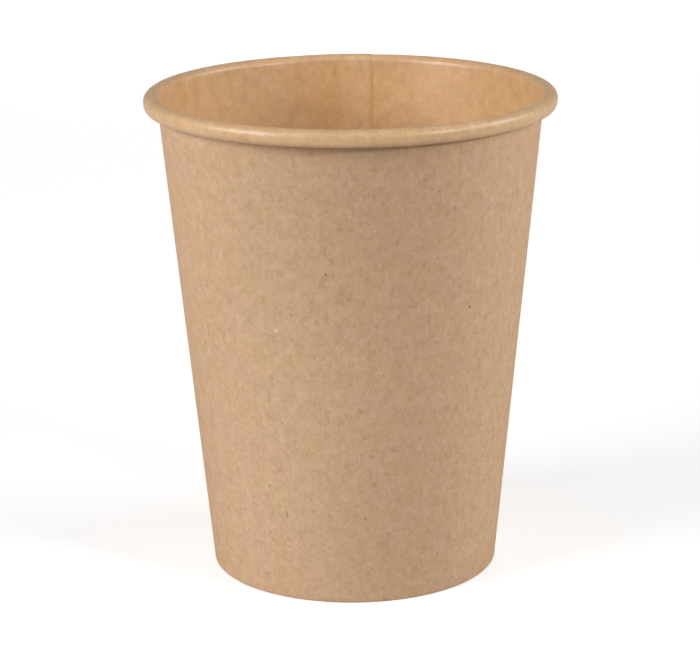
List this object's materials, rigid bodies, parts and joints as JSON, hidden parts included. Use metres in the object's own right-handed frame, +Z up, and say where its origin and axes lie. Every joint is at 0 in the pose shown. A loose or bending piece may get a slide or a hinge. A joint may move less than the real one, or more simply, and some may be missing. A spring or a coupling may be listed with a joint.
{
  "type": "paper cup",
  "caption": "Single-wall kraft paper cup for hot drinks: a tapered side wall with a lapped seam, a rolled rim and a folded foot that grips a recessed base disc.",
  "frame": {"origin": "centre of the circle that the foot stands on", "axes": "+Z up along the cup's axis, out of its mouth; +Y towards the lap seam at the back; the picture looks along +Y from slightly above"},
  "size_m": [0.08, 0.0801, 0.0951],
  "materials": {
    "wall_board": "matte natural kraft outside, thin clear film inside",
    "base_board": "natural kraft with a thin clear film on the drink side"
  },
  "bodies": {
    "root": {"side_wall": "wall_board", "base_disc": "base_board"}
  },
  "joints": []
}
